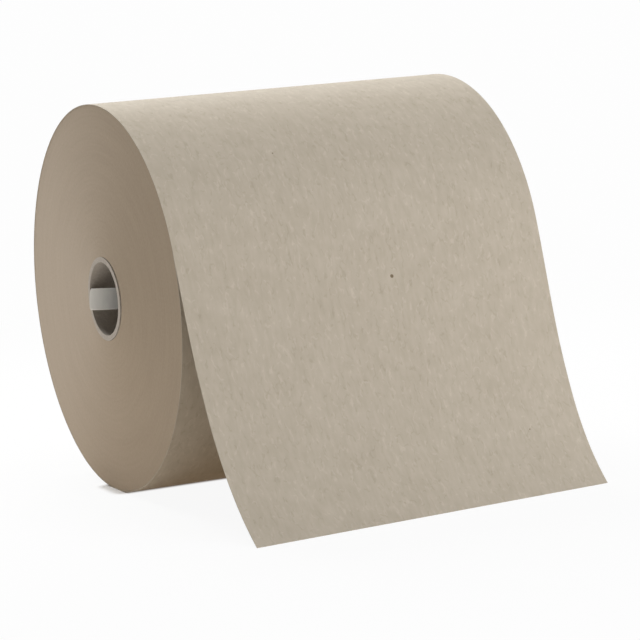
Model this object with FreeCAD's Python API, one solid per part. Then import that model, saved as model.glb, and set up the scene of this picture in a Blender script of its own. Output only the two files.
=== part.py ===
import FreeCAD, Part
import math
import os

# A hardwound paper towel roll, lying on its side with its free sheet drawn off
# to the front. Lengths are in mm. The origin is on the floor, under the middle of
# the roll, X runs along the roll to its plain end, -Y is the front and Z is up.

# The wound paper
roll_width = 200.0            # width of the web, so also the length of the roll
roll_radius = 99.0
flat_spot_half_width = 9.0    # the roll's own weight flattens it this far each side
sheet_thickness = 0.35        # the single towel sheet, creped and lofty

# The loose core in the paper: it bears on the back, and gapes at the front
core_gap_front = 1.8
core_gap_back = 0.05

# The core, a spiral-wound paperboard tube
core_outer_radius = 21.4
core_bore_radius = 18.5
core_chamfer = 0.3            # the cut ends of the board are slightly rubbed down

# The plastic bridge pressed into one mouth of the core
bridge_seat_play = 0.05       # between the bridge's legs and the wall they press back
bridge_seat_sink = 0.3        # how far the legs have pressed back the board
bridge_seat_depth = 22.0
bridge_leg_length = 20.0      # measured from the mouth
bridge_leg_wall = 1.2
bridge_bar_wall = 1.4
bridge_bar_width = 11.0
bridge_recess = 0.1           # the bar's shoulders lie this far inside the mouth
bridge_dish = 1.5             # the middle of the bar lies deeper than its shoulders
bridge_outer_bend = 2.5
bridge_inner_bend = 1.2
bridge_tilt = 6.2             # degrees; the front end of the bar is the higher one

# The free sheet. It leaves the roll on one straight line and lands a little skewed.
leave_angle = 71.0            # degrees from the top of the roll to that line
left_reach = 171.3            # from under the axis to the sheet's lower edge
left_lead = 52.1              # how long the sheet keeps the direction it leaves in
left_flare = 56.7             # how long it takes to turn to its foot angle
left_foot_angle = 55.4        # degrees from upright at the lower edge
right_reach = 153.6
right_lead = 41.0
right_flare = 51.2
right_foot_angle = 49.4

# Values that follow from the sizes above
axis_height = math.sqrt(roll_radius ** 2 - flat_spot_half_width ** 2)
left_end = -roll_width / 2
right_end = roll_width / 2
paper_bore_radius = core_outer_radius + (core_gap_front + core_gap_back) / 2
paper_bore_shift = (core_gap_front - core_gap_back) / 2
seat_radius = core_bore_radius + bridge_seat_sink
bridge_radius = seat_radius - bridge_seat_play

along = FreeCAD.Vector(1, 0, 0)


def vector(x, y, z):
    return FreeCAD.Vector(x, y, z)


def on_roll(angle, radius):
    """The y and z of a point at this angle from the roll's top, towards the front."""
    turn = math.radians(angle)
    return -radius * math.sin(turn), axis_height + radius * math.cos(turn)


def cylinder(radius, start, length, y=0.0):
    """A round bar along the roll, from this x."""
    return Part.makeCylinder(radius, length, vector(start, y, axis_height), along)


# The wound body: a circle that stands on a chord of itself, extruded, less the bore.
def wound_body():
    chord_back = vector(left_end, flat_spot_half_width, 0)
    chord_front = vector(left_end, -flat_spot_half_width, 0)
    crown = vector(left_end, 0, axis_height + roll_radius)
    round_edge = Part.Arc(chord_back, crown, chord_front).toShape()
    flat_edge = Part.makeLine(chord_front, chord_back)
    disc = Part.Face(Part.Wire([round_edge, flat_edge]))
    body = disc.extrude(along * roll_width)
    return body.cut(cylinder(paper_bore_radius, left_end, roll_width, -paper_bore_shift))


# One edge of the free sheet: a curve that leaves the roll along its tangent and
# ends on the floor, drawn for the upper and the under side of the sheet.
def sheet_edge(x, reach, lead, flare, foot_angle):
    leave = math.radians(leave_angle)
    foot = math.radians(foot_angle)
    leave_way = vector(0, -math.cos(leave), -math.sin(leave))
    foot_way = vector(0, -math.sin(foot), -math.cos(foot))
    foot_out = vector(0, -math.cos(foot), math.sin(foot))

    upper_start = vector(x, *on_roll(leave_angle, roll_radius))
    under_start = vector(x, *on_roll(leave_angle, roll_radius - sheet_thickness))
    under_end = vector(x, -reach, 0)
    upper_end = under_end + foot_out * sheet_thickness

    def curve(start, end):
        line = Part.BezierCurve()
        line.setPoles([start, start + leave_way * lead, end - foot_way * flare, end])
        return line.toShape()

    return Part.Wire([
        curve(upper_start, upper_end),
        Part.makeLine(upper_end, under_end),
        curve(under_start, under_end),
        Part.makeLine(under_start, upper_start),
    ])


# The free sheet is ruled between its two edges, which gives it its slight twist.
def free_sheet():
    left = sheet_edge(left_end, left_reach, left_lead, left_flare, left_foot_angle)
    right = sheet_edge(right_end, right_reach, right_lead, right_flare, right_foot_angle)
    return Part.makeLoft([left, right], True, True)


def towel_roll():
    return wound_body().fuse(free_sheet()).removeSplitter()


# The core: a turned section with a wider seat at the bridge's end.
def core_tube():
    seat_end = left_end + bridge_seat_depth
    section = [
        (left_end, seat_radius),
        (left_end, core_outer_radius - core_chamfer),
        (left_end + core_chamfer, core_outer_radius),
        (right_end - core_chamfer, core_outer_radius),
        (right_end, core_outer_radius - core_chamfer),
        (right_end, core_bore_radius),
        (seat_end, core_bore_radius),
        (seat_end, seat_radius),
    ]
    points = [vector(x, 0, axis_height + radius) for x, radius in section]
    face = Part.Face(Part.makePolygon(points + points[:1]))
    return face.revolve(vector(0, 0, axis_height), along, 360)


# The bridge: a shallow cup with a dished floor, of which only a strip is moulded,
# so a bar spans the mouth and two curved legs run along the wall.
def bridge_cup():
    mouth = left_end + bridge_recess
    leg_end = left_end + bridge_leg_length
    leg_inner = bridge_radius - bridge_leg_wall
    shoulder = bridge_radius - bridge_outer_bend
    inner_shoulder = leg_inner - bridge_inner_bend

    # both sides of the floor are parts of spheres about one point on the axis
    dish_radius = (shoulder ** 2 + bridge_dish ** 2) / (2 * bridge_dish)
    dish_centre = mouth + bridge_dish - dish_radius

    def at(x, radius):
        return vector(x, 0, axis_height + radius)

    def on_dish(radius, share):
        """A point of the sphere of this radius, at this distance from the axis."""
        return at(dish_centre + math.sqrt(radius ** 2 - share ** 2), share)

    def dish_side(radius, edge):
        middle = on_dish(radius, edge / 2)
        return Part.Arc(on_dish(radius, edge), middle, on_dish(radius, 0)).toShape()

    def bend(x, radius, size):
        """A quarter turn from the floor, which ends here, into a leg."""
        halfway = size * math.sqrt(0.5)
        middle = at(x + size - halfway, radius + halfway)
        return Part.Arc(at(x, radius), middle, at(x + size, radius + size)).toShape()

    back_radius = dish_radius + bridge_bar_wall
    back = on_dish(back_radius, inner_shoulder).x
    profile = Part.Wire([
        dish_side(dish_radius, shoulder),
        Part.makeLine(on_dish(dish_radius, 0), on_dish(back_radius, 0)),
        dish_side(back_radius, inner_shoulder),
        bend(back, inner_shoulder, bridge_inner_bend),
        Part.makeLine(at(back + bridge_inner_bend, leg_inner), at(leg_end, leg_inner)),
        Part.makeLine(at(leg_end, leg_inner), at(leg_end, bridge_radius)),
        Part.makeLine(at(leg_end, bridge_radius), at(mouth + bridge_outer_bend, bridge_radius)),
        bend(mouth, shoulder, bridge_outer_bend),
    ])
    return Part.Face(profile).revolve(vector(0, 0, axis_height), along, 360)


def core_bridge():
    reach = 2 * core_outer_radius
    corner = vector(left_end, -reach / 2, axis_height - bridge_bar_width / 2)
    strip = Part.makeBox(bridge_leg_length, reach, bridge_bar_width, corner)
    bridge = bridge_cup().common(strip)
    bridge.rotate(vector(0, 0, axis_height), along, -bridge_tilt)
    return bridge


os.makedirs("parts", exist_ok=True)
nodes = {
    "towel_roll": towel_roll(),
    "core_tube": core_tube(),
    "core_bridge": core_bridge(),
}
for name, shape in nodes.items():
    solids = shape.Solids
    volume = round(shape.Volume / 1000, 2)
    print(name, "valid" if shape.isValid() else "BROKEN", len(solids), "solid", volume, "cm3")
    shape.exportStep("parts/" + name + ".step")
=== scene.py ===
# %% [markdown]
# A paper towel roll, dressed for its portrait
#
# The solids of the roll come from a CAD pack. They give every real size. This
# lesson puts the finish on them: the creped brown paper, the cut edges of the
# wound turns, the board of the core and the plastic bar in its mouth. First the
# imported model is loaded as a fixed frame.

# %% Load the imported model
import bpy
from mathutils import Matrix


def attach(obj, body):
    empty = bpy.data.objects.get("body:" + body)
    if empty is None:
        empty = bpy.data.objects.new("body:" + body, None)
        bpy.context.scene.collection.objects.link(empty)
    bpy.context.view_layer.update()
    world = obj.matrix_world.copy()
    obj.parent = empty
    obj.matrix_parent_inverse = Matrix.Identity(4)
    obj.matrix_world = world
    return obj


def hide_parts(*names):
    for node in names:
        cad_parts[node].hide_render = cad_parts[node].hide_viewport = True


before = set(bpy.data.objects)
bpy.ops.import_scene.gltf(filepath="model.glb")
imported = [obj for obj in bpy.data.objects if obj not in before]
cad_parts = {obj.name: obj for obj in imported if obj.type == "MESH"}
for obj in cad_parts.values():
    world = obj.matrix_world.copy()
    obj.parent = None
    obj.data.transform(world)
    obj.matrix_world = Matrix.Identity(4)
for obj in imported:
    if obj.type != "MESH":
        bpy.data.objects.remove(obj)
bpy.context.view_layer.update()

import math

import bmesh
import bpy
from mathutils import Matrix, Vector, noise

scene = bpy.context.scene

# %% [markdown]
# The sizes that more than one piece needs are written once, in metres. The roll
# is 198 mm across on a web 200 mm wide. It rests on a flat spot 18 mm wide, so its
# axis is a little less than its radius above the floor. Angles round the roll are
# measured from its top towards the front.

# %% Sizes of the roll
MM = 0.001
WIDTH = 200 * MM
RADIUS = 99 * MM
FLAT_HALF = 9 * MM
AXIS_HEIGHT = math.sqrt(RADIUS**2 - FLAT_HALF**2)
SHEET = 0.35 * MM
LEAVE_ANGLE = math.radians(71)
FULL_TURN = 2 * math.pi
print(f"axis {AXIS_HEIGHT / MM:.2f} mm above the floor")

# %% [markdown]
# Colours are written as sRGB hex values, as a colour picker gives them. Blender
# shades in linear light, so one function turns each into linear. A second one
# adds a shader node with its settings and links, which keeps each material short.
# The last one adds noises up to a tone, each with its own weight.

# %% Helpers for colour and nodes
def linear(hex_colour):
    """An sRGB hex colour as linear red, green, blue and alpha."""
    channels = [int(hex_colour[i:i + 2], 16) / 255 for i in (1, 3, 5)]
    return [c / 12.92 if c <= 0.04045 else ((c + 0.055) / 1.055) ** 2.4 for c in channels] + [1.0]


def add_node(tree, kind, inputs=None, **settings):
    """A new node. A setting is a property; an input is a value or another node's output."""
    new = tree.nodes.new(kind)
    for name, value in settings.items():
        setattr(new, name, value)
    for key, value in (inputs or {}).items():
        if isinstance(value, bpy.types.NodeSocket):
            tree.links.new(value, new.inputs[key])
        else:
            new.inputs[key].default_value = value
    return new


def new_material(name):
    """A material with an empty tree and its output node."""
    material = bpy.data.materials.new(name)
    material.use_nodes = True
    material.node_tree.nodes.clear()
    return material, material.node_tree, material.node_tree.nodes.new("ShaderNodeOutputMaterial")


def add_up(tree, layers):
    """A tone about a half: each layer's distance from a half, times its weight, added up."""
    tone = 0.5
    for layer, weight in layers:
        share = add_node(tree, "ShaderNodeMath", {0: layer, 1: 0.5}, operation="SUBTRACT")
        tone = add_node(tree, "ShaderNodeMath", {0: share.outputs[0], 1: weight, 2: tone},
                        operation="MULTIPLY_ADD").outputs[0]
    return tone


# %% [markdown]
# A piece is finished the same way each time: its mesh gets smooth shading with
# sharp edges kept, its object stays at the origin with its place in its mesh, and
# it is put on the body it rides on, while the imported solid it stands for is hidden.

# %% Helper that finishes a piece
def finish_piece(name, bm, material, stands_for=None, sharp=math.radians(40)):
    """Makes the object of a finished mesh and puts it on the roll's one body."""
    mesh = bpy.data.meshes.new(name)
    bm.to_mesh(mesh)
    bm.free()
    mesh.shade_smooth()
    mesh.set_sharp_from_angle(angle=sharp)
    mesh.materials.append(material)
    piece = bpy.data.objects.new(name, mesh)
    scene.collection.objects.link(piece)
    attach(piece, "root")
    if stands_for:
        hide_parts(stands_for)
    print(f"{name}: {len(mesh.polygons)} faces")
    return piece


# %% [markdown]
# The camera stands where the photographer stood. Its place was found by fitting
# a camera to the outline of the round face, the crown of the roll and the
# corners of the free sheet.

# %% Camera
camera_data = bpy.data.cameras.new("camera")
camera_data.sensor_width = 36
camera_data.lens = 164.98
camera = bpy.data.objects.new("camera", camera_data)
scene.collection.objects.link(camera)
azimuth, elevation, roll = (math.radians(angle) for angle in (-25.702, 8.438, -3.140))
turn = (Matrix.Rotation(azimuth, 4, "Z")
        @ Matrix.Rotation(math.pi / 2 - elevation, 4, "X")
        @ Matrix.Rotation(roll, 4, "Z"))
camera.matrix_world = Matrix.Translation((-0.64210, -1.37768, 0.30075)) @ turn
camera_data.clip_start, camera_data.clip_end = 0.05, 50
scene.camera = camera
print("lens", camera_data.lens, "mm")

# %% [markdown]
# The towel is recycled paper, creped off a steel drum by a blade and left
# unbleached. To the eye that gives a dull warm grey-brown with no shine, except
# for a pale bloom where the fuzz of fibre ends is seen edge on. Close up there are
# three things: streaks along the web, laid down as the pulp ran out on the wire;
# cloudy mottling, where the pulp lay thicker; and single fibres, light and dark,
# with here and there a dark speck of bark or ink.
#
# All of them follow the web, so they are drawn on the piece's own map, where one
# unit is a metre of paper: across the web first, then along it. Each layer is a
# noise, stretched to its real size in millimetres, and they are added up to one
# tone. A fibre is the line where a slow noise passes its middle value, shown only
# in places. Real ones are far thinner: these are as wide as they need to show.

# %% Tone of the paper, layer by layer
def paper_tone(tree, mm):
    """Clouds, mottling, streaks and fibres, added up to one tone of about a half."""
    cloud = add_node(tree, "ShaderNodeTexNoise", {"Vector": mm, "Scale": 1 / 24, "Detail": 2.0})
    mottle = add_node(tree, "ShaderNodeTexNoise", {"Vector": mm, "Scale": 1 / 8, "Detail": 3.0,
                                                   "Roughness": 0.55})
    stretched = add_node(tree, "ShaderNodeVectorMath", {0: mm, 1: (1 / 2.4, 1 / 9, 1)},
                         operation="MULTIPLY")
    streaks = add_node(tree, "ShaderNodeTexNoise", {"Vector": stretched.outputs[0], "Scale": 1.0,
                                                    "Detail": 1.0})
    layers = [(cloud.outputs["Fac"], 0.35), (mottle.outputs["Fac"], 0.5),
              (streaks.outputs["Fac"], 0.5)]
    for start, weight in (((0, 0, 3), 0.30), ((35, 12, 9), -0.28)):
        moved = add_node(tree, "ShaderNodeMapping", {"Vector": mm, "Location": start,
                                                     "Scale": (1 / 5, 1 / 10, 1)})
        swirl = add_node(tree, "ShaderNodeTexNoise", {"Vector": moved.outputs[0], "Scale": 1.0,
                                                      "Detail": 2.0})
        off_line = add_node(tree, "ShaderNodeMath", {0: swirl.outputs["Fac"], 1: 0.5},
                            operation="SUBTRACT")
        off_line = add_node(tree, "ShaderNodeMath", {0: off_line.outputs[0]}, operation="ABSOLUTE")
        line = add_node(tree, "ShaderNodeMapRange", {"Value": off_line.outputs[0],
                                                     "From Min": 0.035, "From Max": 0.005})
        thick = add_node(tree, "ShaderNodeTexNoise", {"Vector": moved.outputs[0], "Scale": 2.3,
                                                      "Detail": 0.0})
        shown = add_node(tree, "ShaderNodeMapRange", {"Value": thick.outputs["Fac"],
                                                      "From Min": 0.5, "From Max": 0.65})
        fibre = add_node(tree, "ShaderNodeMath", {0: line.outputs[0], 1: shown.outputs[0], 2: 0.5},
                         operation="MULTIPLY_ADD")
        layers.append((fibre.outputs[0], weight))
    return add_up(tree, layers)


# %% [markdown]
# Specks of bark lie a few centimetres apart. A Voronoi pattern with cells of 30
# millimetres places them, one in each cell. Three more are listed, as
# millimetres across the web, millimetres along it and a size: the clear one on the
# free sheet and two small ones.

# %% Specks in the paper
SPECK_GAP = 30.0
PLACED_SPECKS = ((13.0, 24.1, 0.95), (69.5, 110.1, 0.35), (-32.5, -48.2, 0.4))


def speck_share(tree, mm):
    """One inside a speck, nought outside, with a soft edge."""
    cells = add_node(tree, "ShaderNodeTexVoronoi", {"Vector": mm, "Scale": 1 / SPECK_GAP})
    nearest = add_node(tree, "ShaderNodeMath", {0: cells.outputs["Distance"], 1: SPECK_GAP},
                       operation="MULTIPLY").outputs[0]
    for across, along, size in PLACED_SPECKS:
        reach = add_node(tree, "ShaderNodeVectorMath", {0: mm, 1: (across, along, 0)},
                         operation="DISTANCE")
        reach = add_node(tree, "ShaderNodeMath", {0: reach.outputs["Value"], 1: 0.4 - size},
                         operation="ADD")
        nearest = add_node(tree, "ShaderNodeMath", {0: nearest, 1: reach.outputs[0]},
                           operation="MINIMUM").outputs[0]
    return add_node(tree, "ShaderNodeMapRange", {"Value": nearest, "From Min": 0.5,
                                                 "From Max": 0.2}).outputs[0]


# %% [markdown]
# The crepe itself is a fine ripple across the web, a little under a millimetre from
# crest to crest. It is too low to model, so a bump node draws it. Paper is matt:
# its roughness is high, and almost nothing is left of the mirror-like part.

# %% Creped towel paper
def towel_paper_material():
    """Unbleached recycled crepe paper, drawn on the map named web."""
    paper, tree, out = new_material("unbleached recycled crepe paper")
    place = add_node(tree, "ShaderNodeUVMap", uv_map="web")
    mm = add_node(tree, "ShaderNodeVectorMath", {0: place.outputs[0], 1: (1000, 1000, 1000)},
                  operation="MULTIPLY").outputs[0]
    tone = paper_tone(tree, mm)
    colour = add_node(tree, "ShaderNodeMix", {0: tone, 6: linear("#a99e8c"), 7: linear("#c3b9a9")},
                      data_type="RGBA")
    specked = add_node(tree, "ShaderNodeMix", {0: speck_share(tree, mm), 6: colour.outputs[2],
                                               7: linear("#776955")}, data_type="RGBA")
    crepe_way = add_node(tree, "ShaderNodeVectorMath", {0: mm, 1: (1 / 5, 1 / 0.9, 1)},
                         operation="MULTIPLY")
    crepe = add_node(tree, "ShaderNodeTexNoise", {"Vector": crepe_way.outputs[0], "Scale": 1.0,
                                                  "Detail": 1.0})
    height = add_node(tree, "ShaderNodeMath", {0: crepe.outputs["Fac"], 1: tone}, operation="ADD")
    bump = add_node(tree, "ShaderNodeBump", {"Height": height.outputs[0], "Strength": 0.09,
                                             "Distance": 0.12 * MM})
    shader = add_node(tree, "ShaderNodeBsdfPrincipled", {
        "Base Color": specked.outputs[2], "Normal": bump.outputs[0], "Roughness": 0.85,
        "IOR": 1.5, "Specular IOR Level": 0.1, "Sheen Weight": 0.15, "Sheen Roughness": 0.4})
    tree.links.new(shader.outputs[0], out.inputs[0])
    return paper


towel_paper = towel_paper_material()
print(towel_paper.name, "-", len(towel_paper.node_tree.nodes), "nodes")

# %% [markdown]
# The last turn of the roll and the free sheet are one web of paper, so they are
# made as one piece. The real web runs up the front, under the roll's last
# turn, and spirals outwards by one sheet in each turn. It leaves the roll 71
# degrees down the front and sweeps out to the floor. Its two edges don't leave it
# alike: the left one reaches further, so the sheet has a slight twist.
#
# One could unroll a curve and extrude it, but then both edges would be alike. So
# a flat grid is made first, as the web comes off the machine, and each of its
# points is then carried to its place: round the spiral, or between the two edge
# curves. The same poles drew the sheet's solid.

# %% The path of the web
def edge_poles(reach, lead, flare, foot_angle):
    """The four poles, as (y, z), of one edge of the free sheet's outer face."""
    leaving = Vector((-math.cos(LEAVE_ANGLE), -math.sin(LEAVE_ANGLE)))
    arriving = Vector((-math.sin(foot_angle), -math.cos(foot_angle)))
    outwards = Vector((-math.cos(foot_angle), math.sin(foot_angle)))
    start = Vector((-RADIUS * math.sin(LEAVE_ANGLE), AXIS_HEIGHT + RADIUS * math.cos(LEAVE_ANGLE)))
    end = Vector((-reach, 0)) + SHEET * outwards
    return start, start + lead * leaving, end - flare * arriving, end


LEFT_EDGE = edge_poles(171.3 * MM, 52.1 * MM, 56.7 * MM, math.radians(55.4))
RIGHT_EDGE = edge_poles(153.6 * MM, 41.0 * MM, 51.2 * MM, math.radians(49.4))


def on_last_turn(x, back):
    """A point of the last turn's outer face, the angle back from the leaving line over the top."""
    radius = RADIUS - SHEET * back / FULL_TURN
    angle = LEAVE_ANGLE - back
    return Vector((x, -radius * math.sin(angle), max(0, AXIS_HEIGHT + radius * math.cos(angle))))


def on_free_sheet(x, share):
    """A point of the free sheet's outer face, a share of the way from the roll to the foot."""
    across = x / WIDTH + 0.5
    a, b, c, d = (left.lerp(right, across) for left, right in zip(LEFT_EDGE, RIGHT_EDGE))
    rest = 1 - share
    y, z = rest**3 * a + 3 * rest**2 * share * b + 3 * rest * share**2 * c + share**3 * d
    return Vector((x, y, z))


# %% [markdown]
# The grid has a row for every two or three millimetres of paper. Its points are
# sorted into columns, so that the length of paper up to each point can be added up.
# That length is kept on the point as a mark, because the material needs it later.

# %% Carry the flat web to its place
TURN_ROWS, SHEET_ROWS, COLUMNS = 262, 68, 84
bm = bmesh.new()
bmesh.ops.create_grid(bm, x_segments=COLUMNS, y_segments=TURN_ROWS + SHEET_ROWS, size=0.5)
web_place = bm.verts.layers.float_vector.new("web_place")
columns = {}
for vert in bm.verts:
    columns.setdefault(round(vert.co.x * COLUMNS), []).append(vert)
for column in columns.values():
    column.sort(key=lambda vert: vert.co.y)
    x = column[0].co.x * WIDTH
    for row, vert in enumerate(column):
        if row <= TURN_ROWS:
            vert.co = on_last_turn(x, FULL_TURN * (1 - row / TURN_ROWS))
        else:
            vert.co = on_free_sheet(x, (row - TURN_ROWS) / SHEET_ROWS)
    along = 0
    for row, vert in enumerate(column):
        along += (vert.co - column[row - 1].co).length if row else 0
        vert[web_place] = (x, along, row)
leave_along = columns[0][TURN_ROWS][web_place].y
print(f"{len(columns)} columns of {TURN_ROWS + SHEET_ROWS + 1} points; "
      f"the last turn is {leave_along / MM:.1f} mm of paper")

# %% [markdown]
# Paper is never quite flat. The free sheet has long shallow waves, less than half
# a millimetre high, which fade out where the roll holds it. The waves come from
# noise read at the web's own place, so they are the same in every run. Each point
# moves inwards along its normal, so the normals have to point outwards first.

# %% Waves in the free sheet
WAVE, RIPPLE = 0.35 * MM, 0.10 * MM
bmesh.ops.recalc_face_normals(bm, faces=bm.faces)
bm.normal_update()
facing = sum(vert.normal.z for vert in bm.verts if vert.co.z > 0.19)
if facing < 0:
    bmesh.ops.reverse_faces(bm, faces=bm.faces)
    bm.normal_update()
for vert in bm.verts:
    x, along, row = vert[web_place]
    down = (along - leave_along) / MM
    freedom = min(1, max(0, down / 45)) * min(1, max(0.25, (150 - down) / 25))
    wave = noise.noise(Vector((x / (60 * MM), along / (45 * MM), 4.2)))
    ripple = noise.noise(Vector((x / (16 * MM), along / (22 * MM), 9.7)))
    vert.co -= vert.normal * freedom * (WAVE * (0.4 + wave) + RIPPLE * ripple)
    vert[web_place] = (x, along - leave_along, 0)
for name, column in (("left", columns[-COLUMNS // 2]), ("right", columns[COLUMNS // 2])):
    free = column[TURN_ROWS:]
    length = sum((b.co - a.co).length for a, b in zip(free, free[1:]))
    print(f"free sheet, {name} edge: {length / MM:.1f} mm")

# %% [markdown]
# The web gets its thickness last. Solidify pushes a second face inwards, and the
# first stays where it is, on the roll's outside. The map is written from the mark
# that each point carries: its place across and along the paper.

# %% Thickness, and the map that the material reads
bmesh.ops.solidify(bm, geom=bm.faces[:], thickness=SHEET)
for vert in bm.verts:
    vert.co.z = max(0, vert.co.z)
web_map = bm.loops.layers.uv.new("web")
for face in bm.faces:
    for loop in face.loops:
        loop[web_map].uv = loop.vert[web_place].xy
bm.verts.layers.float_vector.remove(web_place)
web = finish_piece("paper_web", bm, towel_paper, "towel_roll")

# %% [markdown]
# The end of the roll shows the sawn edges of hundreds of turns, each a fraction of
# a millimetre thick. That is too fine to show, so the rings are drawn about a
# millimetre apart, and faint.
#
# The saw also drags the fibres of each turn the same way, so that every edge leans
# a little away from the core, like slates on a round roof. The face stays flat,
# but it catches light as a very shallow cone would: it is brightest on the side
# that leans to the lamp, and light and dark meet in wedges at the core. A bump
# can't draw slopes without the steps between them, so the lean is added straight
# to the normal.

# %% Cut edges of the turns
TURN_LEAN = 0.2


def cut_edge_material():
    """The sawn ends of tightly wound turns, drawn on rings round the roll's axis."""
    edges, tree, out = new_material("sawn edges of wound crepe paper")
    place = add_node(tree, "ShaderNodeTexCoord")
    from_axis = add_node(tree, "ShaderNodeVectorMath",
                         {0: place.outputs["Object"], 1: (0, 0, -AXIS_HEIGHT)}, operation="ADD")
    flat = add_node(tree, "ShaderNodeVectorMath", {0: from_axis.outputs[0], 1: (0, 1000, 1000)},
                    operation="MULTIPLY")
    radius = add_node(tree, "ShaderNodeVectorMath", {0: flat.outputs[0]}, operation="LENGTH")
    way = add_node(tree, "ShaderNodeVectorMath", {0: flat.outputs[0]}, operation="NORMALIZE")
    tones = []
    for ring, arc, seed in ((1.1, 2.2, 0.0), (7.0, 1.2, 20.0)):
        rings = add_node(tree, "ShaderNodeMath", {0: radius.outputs["Value"], 1: 1 / ring, 2: seed},
                         operation="MULTIPLY_ADD")
        outward = add_node(tree, "ShaderNodeCombineXYZ", {"X": rings.outputs[0]})
        wound = add_node(tree, "ShaderNodeVectorMath",
                         {0: way.outputs[0], 1: (1, arc, arc), 2: outward.outputs[0]},
                         operation="MULTIPLY_ADD")
        tones.append(add_node(tree, "ShaderNodeTexNoise", {"Vector": wound.outputs[0], "Scale": 1.0,
                                                           "Detail": 2.0}))
    fuzz = add_node(tree, "ShaderNodeTexNoise", {"Vector": flat.outputs[0], "Scale": 1 / 1.5,
                                                 "Detail": 3.0})
    tone = add_up(tree, [(tones[0].outputs["Fac"], 0.35), (tones[1].outputs["Fac"], 0.25),
                         (fuzz.outputs["Fac"], 0.5)])
    colour = add_node(tree, "ShaderNodeMix", {0: tone, 6: linear("#a4927c"), 7: linear("#bdac95")},
                      data_type="RGBA")
    bump = add_node(tree, "ShaderNodeBump", {"Height": tones[0].outputs["Fac"], "Strength": 0.15,
                                             "Distance": 0.1 * MM})
    lean = add_node(tree, "ShaderNodeVectorMath",
                    {0: way.outputs[0], 1: (0, TURN_LEAN, TURN_LEAN), 2: bump.outputs[0]},
                    operation="MULTIPLY_ADD")
    leaning = add_node(tree, "ShaderNodeVectorMath", {0: lean.outputs[0]}, operation="NORMALIZE")
    shader = add_node(tree, "ShaderNodeBsdfPrincipled", {
        "Base Color": colour.outputs[2], "Normal": leaning.outputs[0], "Roughness": 0.8,
        "IOR": 1.5, "Specular IOR Level": 0.3, "Sheen Weight": 0.1})
    tree.links.new(shader.outputs[0], out.inputs[0])
    return edges


cut_edges = cut_edge_material()
print(cut_edges.name, "-", len(cut_edges.node_tree.nodes), "nodes")

# %% [markdown]
# The wound turns under the last one are one body. Its section through the axis is
# a plain frame of four corners. The two edges that become the round faces are
# divided, and each point is moved inwards by a few hundredths of a millimetre, as
# turns stand a little behind each other on a real roll. A full spin makes the body.

# %% Spin the wound turns
CORE_OUTER = 21.4 * MM
CORE_PLAY = 0.05 * MM
FACE_RINGS, SPIN_STEPS = 60, 288


def turns_behind(radius, side):
    """How far the turns at this radius stand behind the roll's end."""
    fine = noise.noise(Vector((radius / (1.3 * MM), 3.0 * side, 0.5)))
    broad = noise.noise(Vector((radius / (14 * MM), 7.0 * side, 2.5)))
    return MM * (0.08 + 0.02 * fine + 0.08 * broad)


half = WIDTH / 2
bore, outside = CORE_OUTER + CORE_PLAY, RADIUS - SHEET
bm = bmesh.new()
corners = [bm.verts.new((x, 0, AXIS_HEIGHT + radius))
           for x, radius in ((-half, bore), (-half, outside), (half, outside), (half, bore))]
sides = [bm.edges.new((corners[i - 1], corners[i])) for i in range(4)]
bmesh.ops.subdivide_edges(bm, edges=[sides[1], sides[3]], cuts=FACE_RINGS)
for vert in bm.verts:
    side = math.copysign(1, vert.co.x)
    vert.co.x -= side * max(0, turns_behind(vert.co.z - AXIS_HEIGHT, side))
bmesh.ops.spin(bm, geom=bm.verts[:] + bm.edges[:], cent=(0, 0, AXIS_HEIGHT), axis=(1, 0, 0),
               angle=FULL_TURN, steps=SPIN_STEPS, use_merge=True)
print(f"spun {len(bm.verts)} points, bore {bore / MM:.2f} mm, outside {outside / MM:.2f} mm")

# %% [markdown]
# Then the body is fitted to its neighbours. Outside, it shrinks by one sheet in a
# turn, as the spiral does, and lies flat where the roll rests. Inside, the paper
# hugs the core all round, but at the front the first turns have slipped away from
# it and leave a crescent of dark.

# %% Fit the wound turns
CORE_SLIP = 1.75 * MM
SLIP_WAY = math.radians(80)
for vert in bm.verts:
    x, y, z = vert.co
    radius, angle = math.hypot(y, z - AXIS_HEIGHT), math.atan2(-y, z - AXIS_HEIGHT)
    outward = (radius - bore) / (outside - bore)
    slip = CORE_SLIP * max(0, math.cos(angle - SLIP_WAY)) ** 1.5 * (1 - outward) ** 2
    back = (LEAVE_ANGLE - angle) % FULL_TURN
    radius += slip - outward * SHEET * back / FULL_TURN
    vert.co = (x, -radius * math.sin(angle), max(SHEET, AXIS_HEIGHT + radius * math.cos(angle)))
bmesh.ops.remove_doubles(bm, verts=bm.verts, dist=1e-6)
bmesh.ops.recalc_face_normals(bm, faces=bm.faces)
print(f"paper of the wound turns: {bm.calc_volume() * 1e6:.0f} cm3")
turns = finish_piece("wound_turns", bm, cut_edges, "towel_roll")

# %% [markdown]
# The core is a spiral-wound tube of grey board, glued in plies half a millimetre
# thick. On its sawn rim the plies show as fine rings, drawn here twice as coarse so
# that they show. Inside the tube each strip of board, 62 mm wide, leaves a seam
# that climbs along the bore.

# %% Core board
PLY, STRIP = 0.9, 62.0


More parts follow.
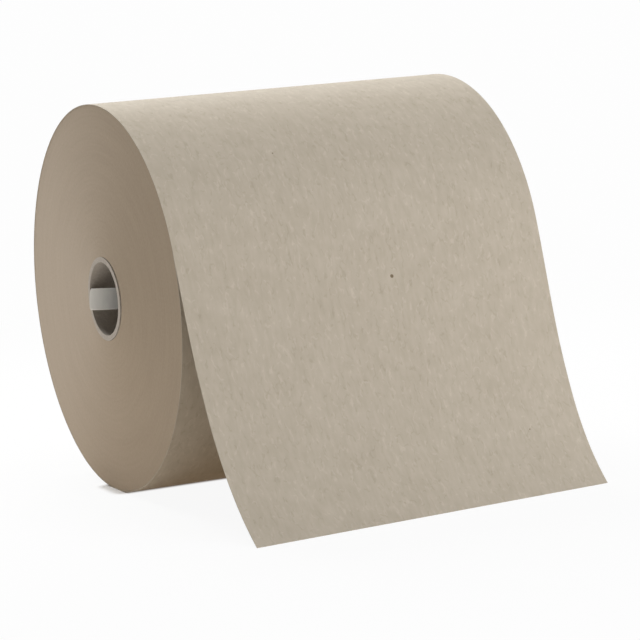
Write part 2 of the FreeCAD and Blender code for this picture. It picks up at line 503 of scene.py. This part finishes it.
def core_board_material():
    """Grey board of a spiral-wound tube, with its plies on the rim and seams in the bore."""
    board, tree, out = new_material("spiral wound grey board")
    place = add_node(tree, "ShaderNodeTexCoord")
    from_axis = add_node(tree, "ShaderNodeVectorMath",
                         {0: place.outputs["Object"], 1: (0, 0, -AXIS_HEIGHT)}, operation="ADD")
    mm = add_node(tree, "ShaderNodeVectorMath", {0: from_axis.outputs[0], 1: (1000, 1000, 1000)},
                  operation="MULTIPLY")
    flat = add_node(tree, "ShaderNodeVectorMath", {0: mm.outputs[0], 1: (0, 1, 1)},
                    operation="MULTIPLY")
    radius = add_node(tree, "ShaderNodeVectorMath", {0: flat.outputs[0]}, operation="LENGTH")
    plies = add_node(tree, "ShaderNodeMath", {0: radius.outputs["Value"], 1: FULL_TURN / PLY},
                     operation="MULTIPLY")
    plies = add_node(tree, "ShaderNodeMath", {0: plies.outputs[0]}, operation="SINE")
    fibre = add_node(tree, "ShaderNodeTexNoise", {"Vector": mm.outputs[0], "Scale": 1 / 1.2,
                                                  "Detail": 4.0, "Roughness": 0.65})
    tone = add_node(tree, "ShaderNodeMath", {0: plies.outputs[0], 1: 0.12, 2: fibre.outputs["Fac"]},
                    operation="MULTIPLY_ADD")
    colour = add_node(tree, "ShaderNodeMix", {0: tone.outputs[0], 6: linear("#a1978b"),
                                              7: linear("#cec6bb")}, data_type="RGBA")
    axes = add_node(tree, "ShaderNodeSeparateXYZ", {0: mm.outputs[0]})
    angle = add_node(tree, "ShaderNodeMath", {0: axes.outputs["Y"], 1: axes.outputs["Z"]},
                     operation="ARCTAN2")
    climb = add_node(tree, "ShaderNodeMath", {0: angle.outputs[0], 1: STRIP / FULL_TURN,
                                              2: axes.outputs["X"]}, operation="MULTIPLY_ADD")
    strip = add_node(tree, "ShaderNodeMath", {0: climb.outputs[0], 1: STRIP},
                     operation="FLOORED_MODULO")
    seam = add_node(tree, "ShaderNodeMath", {0: strip.outputs[0], 1: 0.8}, operation="LESS_THAN")
    in_bore = add_node(tree, "ShaderNodeMath", {0: radius.outputs["Value"], 1: 18.9},
                       operation="LESS_THAN")
    seam = add_node(tree, "ShaderNodeMath", {0: seam.outputs[0], 1: in_bore.outputs[0]},
                    operation="MULTIPLY")
    seamed = add_node(tree, "ShaderNodeMix", {0: seam.outputs[0], 6: colour.outputs[2],
                                              7: linear("#7c7368")}, data_type="RGBA")
    bump = add_node(tree, "ShaderNodeBump", {"Height": fibre.outputs["Fac"], "Strength": 0.3,
                                             "Distance": 0.15 * MM})
    shader = add_node(tree, "ShaderNodeBsdfPrincipled", {
        "Base Color": seamed.outputs[2], "Normal": bump.outputs[0], "Roughness": 0.8,
        "IOR": 1.5, "Specular IOR Level": 0.35})
    tree.links.new(shader.outputs[0], out.inputs[0])
    return board


core_board = core_board_material()
print(core_board.name, "-", len(core_board.node_tree.nodes), "nodes")

# %% [markdown]
# The tube is spun from its section, as the turns were. The mouth at the left end
# is bored out a little for the legs of the plastic bar. The four corners of the
# section get a small bevel, because a saw leaves board slightly crushed.

# %% The core tube
CORE_BORE = 18.5 * MM
SEAT_RADIUS = 18.8 * MM
SEAT_DEPTH = 22 * MM
bm = bmesh.new()
section = [bm.verts.new((x, 0, AXIS_HEIGHT + radius)) for x, radius in (
    (-half, CORE_OUTER), (half, CORE_OUTER), (half, CORE_BORE), (SEAT_DEPTH - half, CORE_BORE),
    (SEAT_DEPTH - half, SEAT_RADIUS), (-half, SEAT_RADIUS))]
for i in range(len(section)):
    bm.edges.new((section[i - 1], section[i]))
rim_corners = [vert for vert in section if abs(vert.co.x) == half]
bmesh.ops.bevel(bm, geom=rim_corners, offset=0.35 * MM, offset_type="OFFSET", affect="VERTICES",
                segments=3, profile=0.5, material=-1)
bmesh.ops.spin(bm, geom=bm.verts[:] + bm.edges[:], cent=(0, 0, AXIS_HEIGHT), axis=(1, 0, 0),
               angle=FULL_TURN, steps=128, use_merge=True)
bmesh.ops.remove_doubles(bm, verts=bm.verts, dist=1e-6)
bmesh.ops.recalc_face_normals(bm, faces=bm.faces)
core = finish_piece("core_board_tube", bm, core_board, "core_tube")

# %% [markdown]
# The bar in the mouth of the core is injection moulded from white polypropylene,
# a little yellow with age. That gives a smooth half-gloss surface, a little light
# inside it, and a very fine grain from the mould. The shade that falls where the bar
# lies deeper, towards the front, is painted into its colour: that end is painted
# darker and browner, and it is made rougher too.

# %% Moulded plastic
def bar_plastic_material():
    """Moulded polypropylene, half gloss, with painted shade darkening its deep front end."""
    plastic, tree, out = new_material("injection moulded polypropylene")
    place = add_node(tree, "ShaderNodeTexCoord")
    mm = add_node(tree, "ShaderNodeVectorMath", {0: place.outputs["Object"], 1: (1000, 1000, 1000)},
                  operation="MULTIPLY")
    patches = add_node(tree, "ShaderNodeTexNoise", {"Vector": mm.outputs[0], "Scale": 1 / 5,
                                                    "Detail": 3.0})
    grain = add_node(tree, "ShaderNodeTexNoise", {"Vector": mm.outputs[0], "Scale": 1 / 0.5,
                                                  "Detail": 1.0})
    axes = add_node(tree, "ShaderNodeSeparateXYZ", {0: mm.outputs[0]})
    # Painted shade: the colour runs from the pale plastic at the back to a dark brown-grey at the
    # front, where the bar dives into the core's shade; soft patches are mixed in.
    painted_shade_ramp = add_node(tree, "ShaderNodeMapRange", {
        "Value": axes.outputs["Y"], "From Min": 20.0, "From Max": -12.0,
        "To Min": -0.1, "To Max": 0.9})
    patches_and_painted_shade = add_node(tree, "ShaderNodeMath", {0: patches.outputs["Fac"], 1: 0.2,
                                             2: painted_shade_ramp.outputs[0]}, operation="MULTIPLY_ADD")
    colour = add_node(tree, "ShaderNodeMix", {0: patches_and_painted_shade.outputs[0], 6: linear("#cdc9bf"),
                                              7: linear("#807e79")}, data_type="RGBA")
    dull = add_node(tree, "ShaderNodeMath", {0: patches_and_painted_shade.outputs[0], 1: 0.3, 2: 0.25},
                    operation="MULTIPLY_ADD")
    bump = add_node(tree, "ShaderNodeBump", {"Height": grain.outputs["Fac"], "Strength": 0.1,
                                             "Distance": 0.05 * MM})
    shader = add_node(tree, "ShaderNodeBsdfPrincipled", {
        "Base Color": colour.outputs[2], "Roughness": dull.outputs[0], "Normal": bump.outputs[0],
        "IOR": 1.49, "Specular IOR Level": 0.3, "Subsurface Weight": 0.15,
        "Subsurface Radius": (1.0, 1.0, 1.0), "Subsurface Scale": 1.0 * MM})
    tree.links.new(shader.outputs[0], out.inputs[0])
    return plastic


bar_plastic = bar_plastic_material()
print(bar_plastic.name, "-", len(bar_plastic.node_tree.nodes), "nodes")

# %% [markdown]
# The bar is a strip 11 mm wide, pushed in a little askew. At the back it stands
# proud of the mouth, its lower edge more than its upper one, and towards the front
# it dives slowly into the core. At each end it bends, narrows with round corners,
# and runs down the core's wall as a leg, whose face follows the round wall. Two
# functions hold that path: how deep the middle line lies, and where a point is.

# %% The path of the bar
BAR_WIDTH = 11 * MM
BAR_WALL = 1.7 * MM
BAR_RADIUS = 18.75 * MM
BAR_PROUD = 1.25 * MM
BAR_DIVE = 5.0 * MM
BAR_CORNER = 1.8 * MM
BAR_LEAN = 0.136
BAR_TILT = math.radians(6.2)
LEG_DEPTH = 20 * MM
BACK_BEND, FRONT_BEND = 2.0 * MM, 7.0 * MM


def bar_depth(y):
    """How deep the bar's middle line lies in the mouth, y from the core's middle to the back."""
    from_back = (BAR_RADIUS - y) / (2 * BAR_RADIUS)
    return BAR_DIVE * from_back**1.5 - BAR_PROUD


def on_bar(run, across, bend_radius, side):
    """A point of the outer face: run out from the bar's middle, across from -0.5 to 0.5."""
    flat = BAR_RADIUS - bend_radius
    corner = min(1, max(0, run - flat) / bend_radius)
    height = across * (BAR_WIDTH - 2 * BAR_CORNER * (1 - math.sqrt(1 - corner**2)))
    bend = min(math.pi / 2, max(0, run - flat) / bend_radius)
    reach = min(run, flat) + bend_radius * math.sin(bend)
    full = max(reach, flat)
    y = reach / full * math.sqrt(full**2 - height**2)
    depth = bar_depth(side * min(run, flat)) + bend_radius * (1 - math.cos(bend))
    depth += max(0, run - flat - bend_radius * math.pi / 2) + BAR_LEAN * height
    return Vector((-half + depth, side * y, height))


print(f"middle of the bar: {-bar_depth(BAR_RADIUS) / MM:.2f} mm proud at the back, "
      f"{bar_depth(-BAR_RADIUS) / MM:.2f} mm deep at the front")

# %% [markdown]
# A flat grid is bent along that path, with more of its rows in the bends. Solidify
# gives the wall, and a bevel rounds off all of its edges, as in a mould. At last
# the bar is turned by 6 degrees, as it sits, and lifted to the roll's axis.

# %% The bar in the mouth of the core
stations = []
for side, bend_radius in ((-1, FRONT_BEND), (1, BACK_BEND)):
    flat = BAR_RADIUS - bend_radius
    arc = bend_radius * math.pi / 2
    leg = LEG_DEPTH - bend_radius - bar_depth(side * flat)
    runs = [flat * i / 14 for i in range(1, 15)]
    runs += [flat + arc * i / 8 for i in range(1, 9)]
    runs += [flat + arc + leg * i / 8 for i in range(1, 9)]
    stations += [(run, bend_radius, side) for run in (reversed(runs) if side < 0 else [0] + runs)]
bm = bmesh.new()
bmesh.ops.create_grid(bm, x_segments=len(stations) - 1, y_segments=10, size=0.5)
for vert in bm.verts:
    run, bend_radius, side = stations[round((vert.co.x + 0.5) * (len(stations) - 1))]
    vert.co = on_bar(run, vert.co.y, bend_radius, side)
bm.normal_update()
if sum(vert.normal.x for vert in bm.verts) > 0:
    bmesh.ops.reverse_faces(bm, faces=bm.faces)
    bm.normal_update()
bmesh.ops.solidify(bm, geom=bm.faces[:], thickness=BAR_WALL)
bmesh.ops.recalc_face_normals(bm, faces=bm.faces)
bm.normal_update()
rim = [edge for edge in bm.edges if edge.calc_face_angle(0) > math.radians(50)]
bmesh.ops.bevel(bm, geom=rim, offset=0.8 * MM, offset_type="OFFSET", affect="EDGES",
                segments=4, profile=0.5, material=-1)
bmesh.ops.rotate(bm, verts=bm.verts, matrix=Matrix.Rotation(-BAR_TILT, 3, "X"))
bmesh.ops.translate(bm, verts=bm.verts, vec=(0, 0, AXIS_HEIGHT))
bar = finish_piece("core_bar", bm, bar_plastic, "core_bridge", math.radians(60))

# %% [markdown]
# The roll stands on a plain white sweep. To the camera, and to anything that
# mirrors, the sweep and the world are white, but they light the roll at a plain
# level, so its own colours come out as they are written. One function tells the
# two kinds of ray apart.

# %% White to the eye, plain to the roll
WHITE = 0.985
WORLD_LIGHT = 0.12
TABLE_LIGHT = 0.13
scene.view_settings.view_transform = "Standard"


def seen_directly(tree):
    """One for the camera, for mirrors and for glass, nought for light that falls on the roll."""
    rays = add_node(tree, "ShaderNodeLightPath")
    seen = rays.outputs["Is Camera Ray"]
    for kind in ("Is Glossy Ray", "Is Transmission Ray"):
        seen = add_node(tree, "ShaderNodeMath", {0: seen, 1: rays.outputs[kind]},
                        operation="MAXIMUM").outputs[0]
    return seen


print("white", WHITE, "world", WORLD_LIGHT, "light table", TABLE_LIGHT)

# %% [markdown]
# The sweep lies over a light table, which glows faintly from below and lifts the
# shade under the free sheet. Its light is warm, because in the real shade most of
# the light has come through brown paper, and the camera doesn't see it. The roll
# keeps light off the sweep, so a soft shadow stays. It has to be dark only within
# a few millimetres of the strip that the roll rests on, so there the sweep is
# shown as it is lit, and further off mostly white.

# %% The sweep's paper
floor_material, tree, out = new_material("white paper sweep")
seen = seen_directly(tree)
matt = add_node(tree, "ShaderNodeBsdfDiffuse", {"Color": linear("#f7f7f7")})
glow = add_node(tree, "ShaderNodeEmission", {"Color": (1, 1, 1, 1), "Strength": WHITE})
table_light = add_node(tree, "ShaderNodeMapRange", {"Value": seen, "To Min": TABLE_LIGHT,
                                                    "To Max": 0.0})
table = add_node(tree, "ShaderNodeEmission", {"Color": linear("#ffdcae"),
                                              "Strength": table_light.outputs[0]})
lit = add_node(tree, "ShaderNodeAddShader", {0: matt.outputs[0], 1: table.outputs[0]})
place = add_node(tree, "ShaderNodeTexCoord")
either_side = add_node(tree, "ShaderNodeVectorMath", {0: place.outputs["Object"]},
                       operation="ABSOLUTE")
past_strip = add_node(tree, "ShaderNodeVectorMath",
                      {0: either_side.outputs[0], 1: (WIDTH / 2, FLAT_HALF, 1)},
                      operation="SUBTRACT")
past_strip = add_node(tree, "ShaderNodeVectorMath", {0: past_strip.outputs[0], 1: (0, 0, 0)},
                      operation="MAXIMUM")
away = add_node(tree, "ShaderNodeVectorMath", {0: past_strip.outputs[0]}, operation="LENGTH")
near = add_node(tree, "ShaderNodeMapRange", {
    "Value": away.outputs["Value"], "From Min": 2 * MM, "From Max": 8 * MM,
    "To Min": 0.0, "To Max": 0.94}, interpolation_type="SMOOTHSTEP")
far = add_node(tree, "ShaderNodeMapRange", {
    "Value": away.outputs["Value"], "From Min": 100 * MM, "From Max": 600 * MM,
    "To Min": 0.0, "To Max": 0.06}, interpolation_type="SMOOTHSTEP")
share = add_node(tree, "ShaderNodeMath", {0: near.outputs[0], 1: far.outputs[0]}, operation="ADD")
whiteness = add_node(tree, "ShaderNodeMath", {0: seen, 1: share.outputs[0]}, operation="MULTIPLY")
sweep = add_node(tree, "ShaderNodeMixShader", {0: whiteness.outputs[0], 1: lit.outputs[0],
                                               2: glow.outputs[0]})
tree.links.new(sweep.outputs[0], out.inputs[0])
print(floor_material.name, "-", len(tree.nodes), "nodes")

# %% [markdown]
# The floor is one large square, a hair below the roll, so that the two faces don't
# fight for the same place. The world is a plain background with the same switch.

# %% Floor and world
bm = bmesh.new()
bmesh.ops.create_grid(bm, x_segments=1, y_segments=1, size=15)
bmesh.ops.translate(bm, verts=bm.verts, vec=(0, 0, -0.05 * MM))
mesh = bpy.data.meshes.new("floor")
bm.to_mesh(mesh)
bm.free()
mesh.materials.append(floor_material)
floor = bpy.data.objects.new("floor", mesh)
scene.collection.objects.link(floor)

world = bpy.data.worlds.new("studio")
scene.world = world
world.use_nodes = True
tree = world.node_tree
backdrop = add_node(tree, "ShaderNodeMix", {0: seen_directly(tree), 2: WORLD_LIGHT, 3: WHITE},
                    data_type="FLOAT")
tree.nodes["Background"].inputs["Color"].default_value = (1, 1, 1, 1)
tree.links.new(backdrop.outputs[0], tree.nodes["Background"].inputs["Strength"])
print("floor and world are in place")

# %% [markdown]
# Three soft boxes do the rest. The first hangs behind the roll and above it, and
# gives the crown its light rim. The one straight above lights the floor too, and
# from there the foot of the sheet. The one at the front, to the right, fills the
# sheet, and is a touch cooler than the others. None of them looks at the round face
# with the bar, which keeps that a shade darker than the web.
#
# Their strengths weren't guessed: the scene was rendered with each lamp alone, and
# as light adds up, the mix that best gives the photograph's greys was worked out.

# %% Studio lamps
def soft_lamp(name, place, size, watts, colour="#ffffff"):
    """A square soft box that faces the middle of the roll."""
    lamp_data = bpy.data.lights.new(name, "AREA")
    lamp_data.size = size
    lamp_data.energy = watts
    lamp_data.color = linear(colour)[:3]
    lamp = bpy.data.objects.new(name, lamp_data)
    lamp.location = place
    facing = Vector((0, 0, 0.1)) - Vector(place)
    lamp.rotation_euler = facing.to_track_quat("-Z", "Y").to_euler()
    scene.collection.objects.link(lamp)
    print(f"{name}: {watts} W")


soft_lamp("top_back_lamp", (0, 1.0, 0.9), 0.8, 19.0)
soft_lamp("top_lamp", (0, 0, 1.4), 1.0, 8.8)
soft_lamp("right_front_lamp", (0.8, -1.2, 0.3), 0.6, 12.7, "#f8faff")
